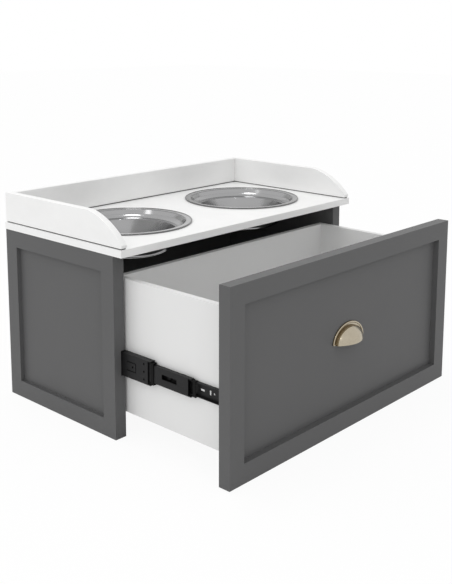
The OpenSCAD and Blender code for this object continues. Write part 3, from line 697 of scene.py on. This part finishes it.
def flange_edge(half_w, height, corner, foot, count=121):
    """The flange's edge in (x, z): out along the bottom from the collar's foot, round a small corner, over
    the half oval and back in the same way. Its points are evenly spaced."""
    lowest = math.asin(1.3 * corner / height)
    oval = half_oval(half_w, height, np.linspace(math.pi - lowest, lowest, 181))
    left, right = [(-foot, 0, 0), (-half_w, 0, corner)], [(half_w, 0, corner), (foot, 0, 0)]
    corners = left + [(*point, 0) for point in oval] + right
    line = filleted(corners)
    run = np.concatenate([[0], np.cumsum(np.linalg.norm(np.diff(line, axis=0), axis=1))])
    even = np.linspace(0, run[-1], count)
    return np.stack([np.interp(even, run, line[:, 0]), np.interp(even, run, line[:, 1])], axis=-1)


def pull_flange(half_w, height, width, bead, sunk, crest, tuck=0.0005):
    """The flange from its edge to under the collar, by tuck: a half-round bead, then a flat band.

    The bead's rows are the edge moved inwards by a half circle's cosine, and forward by its sine, from the
    height of the sunk band to the crest's. The band's rows lie between the bead and the collar's foot."""
    edge = flange_edge(half_w, height, bead, half_w - width - 2 * tuck)
    along = np.gradient(edge, axis=0)
    along /= np.linalg.norm(along, axis=1, keepdims=True)
    inward = np.stack([along[:, 1], -along[:, 0]], axis=-1)
    turn = np.linspace(0, math.pi, 15)
    outlines = [edge] + [edge + inward * bead / 2 * (1 - math.cos(a)) for a in turn]
    forwards = [0] + [sunk + (crest - sunk) * math.sin(a) for a in turn]
    marks = [0.5] + [0.25 + 0.75 * math.sin(min(a, math.pi / 2)) for a in turn]
    lowest = math.asin(bead / height)
    angle = np.clip(np.arctan2(edge[:, 1] / height, edge[:, 0] / half_w), lowest, math.pi - lowest)
    foot = half_oval(half_w - width - tuck, height - width - tuck, angle)
    bead_foot = outlines[-1]
    for share, mark in ((0.1, 0.75), (0.35, 0.85), (0.8, 0.80), (1.0, 0.0)):
        outlines.append(bead_foot * (1 - share) + foot * share)
        forwards.append(sunk)
        marks.append(mark)
    return closed_band(*swept_band(outlines + [foot], forwards + [0], marks + [0.0]))


def build_pull(sizes, colours, sunk=0.0016, crest=0.0032, lap=0.0004):
    """The cup pull: a flange with a beaded edge, a straight collar and a dome with a wall.

    The dome's foot laps into the collar."""
    node = "cup_pull"
    low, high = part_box(node)
    half_w, height = (high.x - low.x) / 2, high.z - low.z
    flange, collar, step, wall = sizes.pull_flange, sizes.pull_collar, sizes.pull_step, sizes.pull_wall
    inset, reach = flange + step, high.y - low.y - collar
    shapes = {
        "pull_dome": (pull_dome(half_w - inset, height - inset, reach), collar - lap),
        "pull_collar": (pull_collar(half_w - flange, height - flange, collar, wall, step), 0),
        "pull_flange": (pull_flange(half_w, height, flange, sizes.pull_bead, sunk, crest), 0),
    }
    for name, ((points, patina_and_crease_shade), ahead) in shapes.items():
        points = points * (1, -1, 1) + ((low.x + high.x) / 2, high.y - ahead, low.z)
        is_dome = name == "pull_dome"
        piece = add_piece(name, grid_mesh(name, points, patina_and_crease_shade), node, colours, stands_for=is_dome)
        if is_dome:
            lining = piece.modifiers.new("Wall", "SOLIDIFY")
            lining.thickness = wall
            lining.offset = -1


def build_stage(stage, reach=12.0):
    """Floor, soft lights, a white surround and the camera. The floor is a level grid, reach to each side."""
    line = np.linspace(-reach, reach, 9)
    x, y = np.meshgrid(line, line)
    mesh = grid_mesh("floor", np.stack([x, y, 0 * x], axis=-1))
    floor = bpy.data.objects.new("floor", mesh)
    bpy.context.scene.collection.objects.link(floor)
    mesh.materials.append(floor_finish("floor_white", stage.floor_glow))
    add_light("left_softbox", (-2.4, 0.2, 2.3), (0.0, 0.0, 0.2), 0.5, stage.left_light)
    add_light("top_softbox", (-0.20, 0.36, 2.6), (0.0, 0.1, 0.3), 0.5, stage.top_light)
    add_light("front_glint", (-1.0, -2.1, 1.7), (0.0, -0.3, 0.2), 0.12, stage.front_light)
    add_surround(stage.sky, stage.sky_lean)
    add_camera(stage)


def add_light(name, place, target, size, power):
    """A square area light that faces a target."""
    light = bpy.data.lights.new(name, "AREA")
    light.size = size
    light.energy = power
    lamp = bpy.data.objects.new(name, light)
    away, turn = np.array(place) - np.array(target), Matrix.Identity(3)
    level = np.cross((0, 0, 1), away)
    turn.col[2] = away / np.linalg.norm(away)
    turn.col[0] = level / np.linalg.norm(level)
    turn.col[1] = np.cross(turn.col[2], turn.col[0])
    lamp.matrix_world = Matrix.Translation(place) @ turn.to_4x4()
    bpy.context.scene.collection.objects.link(lamp)


def add_surround(level, lean, bright_side=(-0.75, 0.45, 0.48)):
    """A world that lights at a level, more from the bright side, and is seen and mirrored as plain white."""
    world = bpy.data.worlds.new("surround")
    bpy.context.scene.world = world
    finish = Finish(world, "ShaderNodeOutputWorld")
    towards = finish.node("ShaderNodeTexCoord")[PLACE_ROUND]
    side = finish.node("ShaderNodeVectorMath", {"operation": "DOT_PRODUCT"}, {0: towards, 1: bright_side})
    lit = side[VECTOR_NUMBER] * lean + level
    values = {"Color": rgba((1.0, 1.0, 1.0)), "Strength": lit + finish.seen() * (1.0 - lit)}
    background = finish.node("ShaderNodeBackground", None, values)[0]
    finish.tree.links.new(background.socket, finish.output.inputs["Surface"])


def add_camera(stage):
    """The camera at the photograph's viewing angle."""
    data = bpy.data.cameras.new("camera")
    data.lens = stage.camera_lens
    data.sensor_width = 36.0
    data.shift_x, data.shift_y = stage.camera_shift
    camera = bpy.data.objects.new("camera", data)
    tilt = Matrix.Rotation(math.pi / 2 - stage.camera_pitch, 4, "X")
    turn = Matrix.Rotation(-stage.camera_azimuth, 4, "Z")
    camera.matrix_world = Matrix.Translation(stage.camera_place) @ turn @ tilt
    bpy.context.scene.collection.objects.link(camera)
    bpy.context.scene.camera = camera


# Operators, one for each group of pieces.

class FEEDER_OT_cabinet(bpy.types.Operator):
    """Rounds the edges of the cabinet's boards and paints them"""

    bl_idname = "feeder.cabinet"
    bl_label = "Cabinet"

    def execute(self, context):
        scene = context.scene
        for node in ("side_left", "side_right", "back_panel", "stretcher"):
            eased_board(node, scene.feeder_sizes.painted_edge, scene.feeder_colours)
        return {"FINISHED"}


class FEEDER_OT_top(bpy.types.Operator):
    """Rounds the edges of the slab and its rails and paints them"""

    bl_idname = "feeder.top"
    bl_label = "Top"

    def execute(self, context):
        scene = context.scene
        sizes, colours = scene.feeder_sizes, scene.feeder_colours
        eased_board("top_slab", sizes.painted_edge, colours)
        build_rail("rail_back", back_rail_outline, sizes, colours)
        for side in ("left", "right"):
            build_rail("rail_" + side, side_rail_outline, sizes, colours)
        return {"FINISHED"}


class FEEDER_OT_bowls(bpy.types.Operator):
    """Turns the two steel bowls"""

    bl_idname = "feeder.bowls"
    bl_label = "Bowls"

    def execute(self, context):
        scene = context.scene
        for side in ("left", "right"):
            build_bowl(side, scene.feeder_sizes, scene.feeder_colours)
        return {"FINISHED"}


class FEEDER_OT_drawer(bpy.types.Operator):
    """Rounds the edges of the drawer's front and of its box"""

    bl_idname = "feeder.drawer"
    bl_label = "Drawer"

    def execute(self, context):
        scene = context.scene
        sizes, colours = scene.feeder_sizes, scene.feeder_colours
        eased_board("drawer_front", sizes.painted_edge, colours)
        for node in ("box_front", "box_side_left", "box_side_right", "box_back", "box_floor"):
            eased_board(node, sizes.box_edge, colours)
        return {"FINISHED"}


class FEEDER_OT_pull(bpy.types.Operator):
    """Builds the cup pull"""

    bl_idname = "feeder.pull"
    bl_label = "Pull"

    def execute(self, context):
        build_pull(context.scene.feeder_sizes, context.scene.feeder_colours)
        return {"FINISHED"}


class FEEDER_OT_slides(bpy.types.Operator):
    """Rounds the edges of the slide members and coats them"""

    bl_idname = "feeder.slides"
    bl_label = "Slides"

    def execute(self, context):
        scene = context.scene
        for side in ("left", "right"):
            for member in ("track_", "outer_", "middle_", "inner_"):
                eased_board(member + side, scene.feeder_sizes.steel_edge, scene.feeder_colours)
        return {"FINISHED"}


class FEEDER_OT_fixings(bpy.types.Operator):
    """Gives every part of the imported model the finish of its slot, for the screws, dowels and ball cages"""

    bl_idname = "feeder.fixings"
    bl_label = "Fixings"

    def execute(self, context):
        for name, node in frame["nodes"].items():
            node.data.materials.clear()
            node.data.materials.append(finish_of(SLOT_OF[name], context.scene.feeder_colours))
        return {"FINISHED"}


class FEEDER_OT_stage(bpy.types.Operator):
    """Adds the floor, the lights, the surround and the camera"""

    bl_idname = "feeder.stage"
    bl_label = "Stage"

    def execute(self, context):
        build_stage(context.scene.feeder_stage)
        context.scene.view_settings.view_transform = "Standard"
        return {"FINISHED"}


OPERATORS = (FEEDER_OT_cabinet, FEEDER_OT_top, FEEDER_OT_bowls, FEEDER_OT_drawer, FEEDER_OT_pull,
             FEEDER_OT_slides, FEEDER_OT_fixings, FEEDER_OT_stage)
GROUPS = {"feeder_sizes": FeederSizes, "feeder_colours": FeederColours, "feeder_stage": FeederStage}


class FEEDER_PT_panel(bpy.types.Panel):
    """Lists the groups of pieces and their settings"""

    bl_idname = "FEEDER_PT_panel"
    bl_label = "Raised pet feeder"
    bl_space_type = "VIEW_3D"
    bl_region_type = "UI"
    bl_category = "Feeder"

    def draw(self, context):
        for operator in OPERATORS:
            self.layout.operator(operator.bl_idname)
        for key, group in GROUPS.items():
            box = self.layout.box()
            for field in group.__annotations__:
                box.prop(getattr(context.scene, key), field)


def register():
    """Registers the property groups, operators and panel."""
    for group in GROUPS.values():
        bpy.utils.register_class(group)
    for key, group in GROUPS.items():
        setattr(bpy.types.Scene, key, PointerProperty(type=group))
    for operator in OPERATORS:
        bpy.utils.register_class(operator)
    bpy.utils.register_class(FEEDER_PT_panel)


def unregister():
    """Takes the panel, operators and property groups out again."""
    bpy.utils.unregister_class(FEEDER_PT_panel)
    for operator in reversed(OPERATORS):
        bpy.utils.unregister_class(operator)
    for key, group in GROUPS.items():
        delattr(bpy.types.Scene, key)
        bpy.utils.unregister_class(group)


def main():
    """Builds the feeder and its stage."""
    register()
    for name in ("cabinet", "top", "bowls", "drawer", "pull", "slides", "fixings", "stage"):
        getattr(bpy.ops.feeder, name)()


if __name__ == "__main__":
    main()
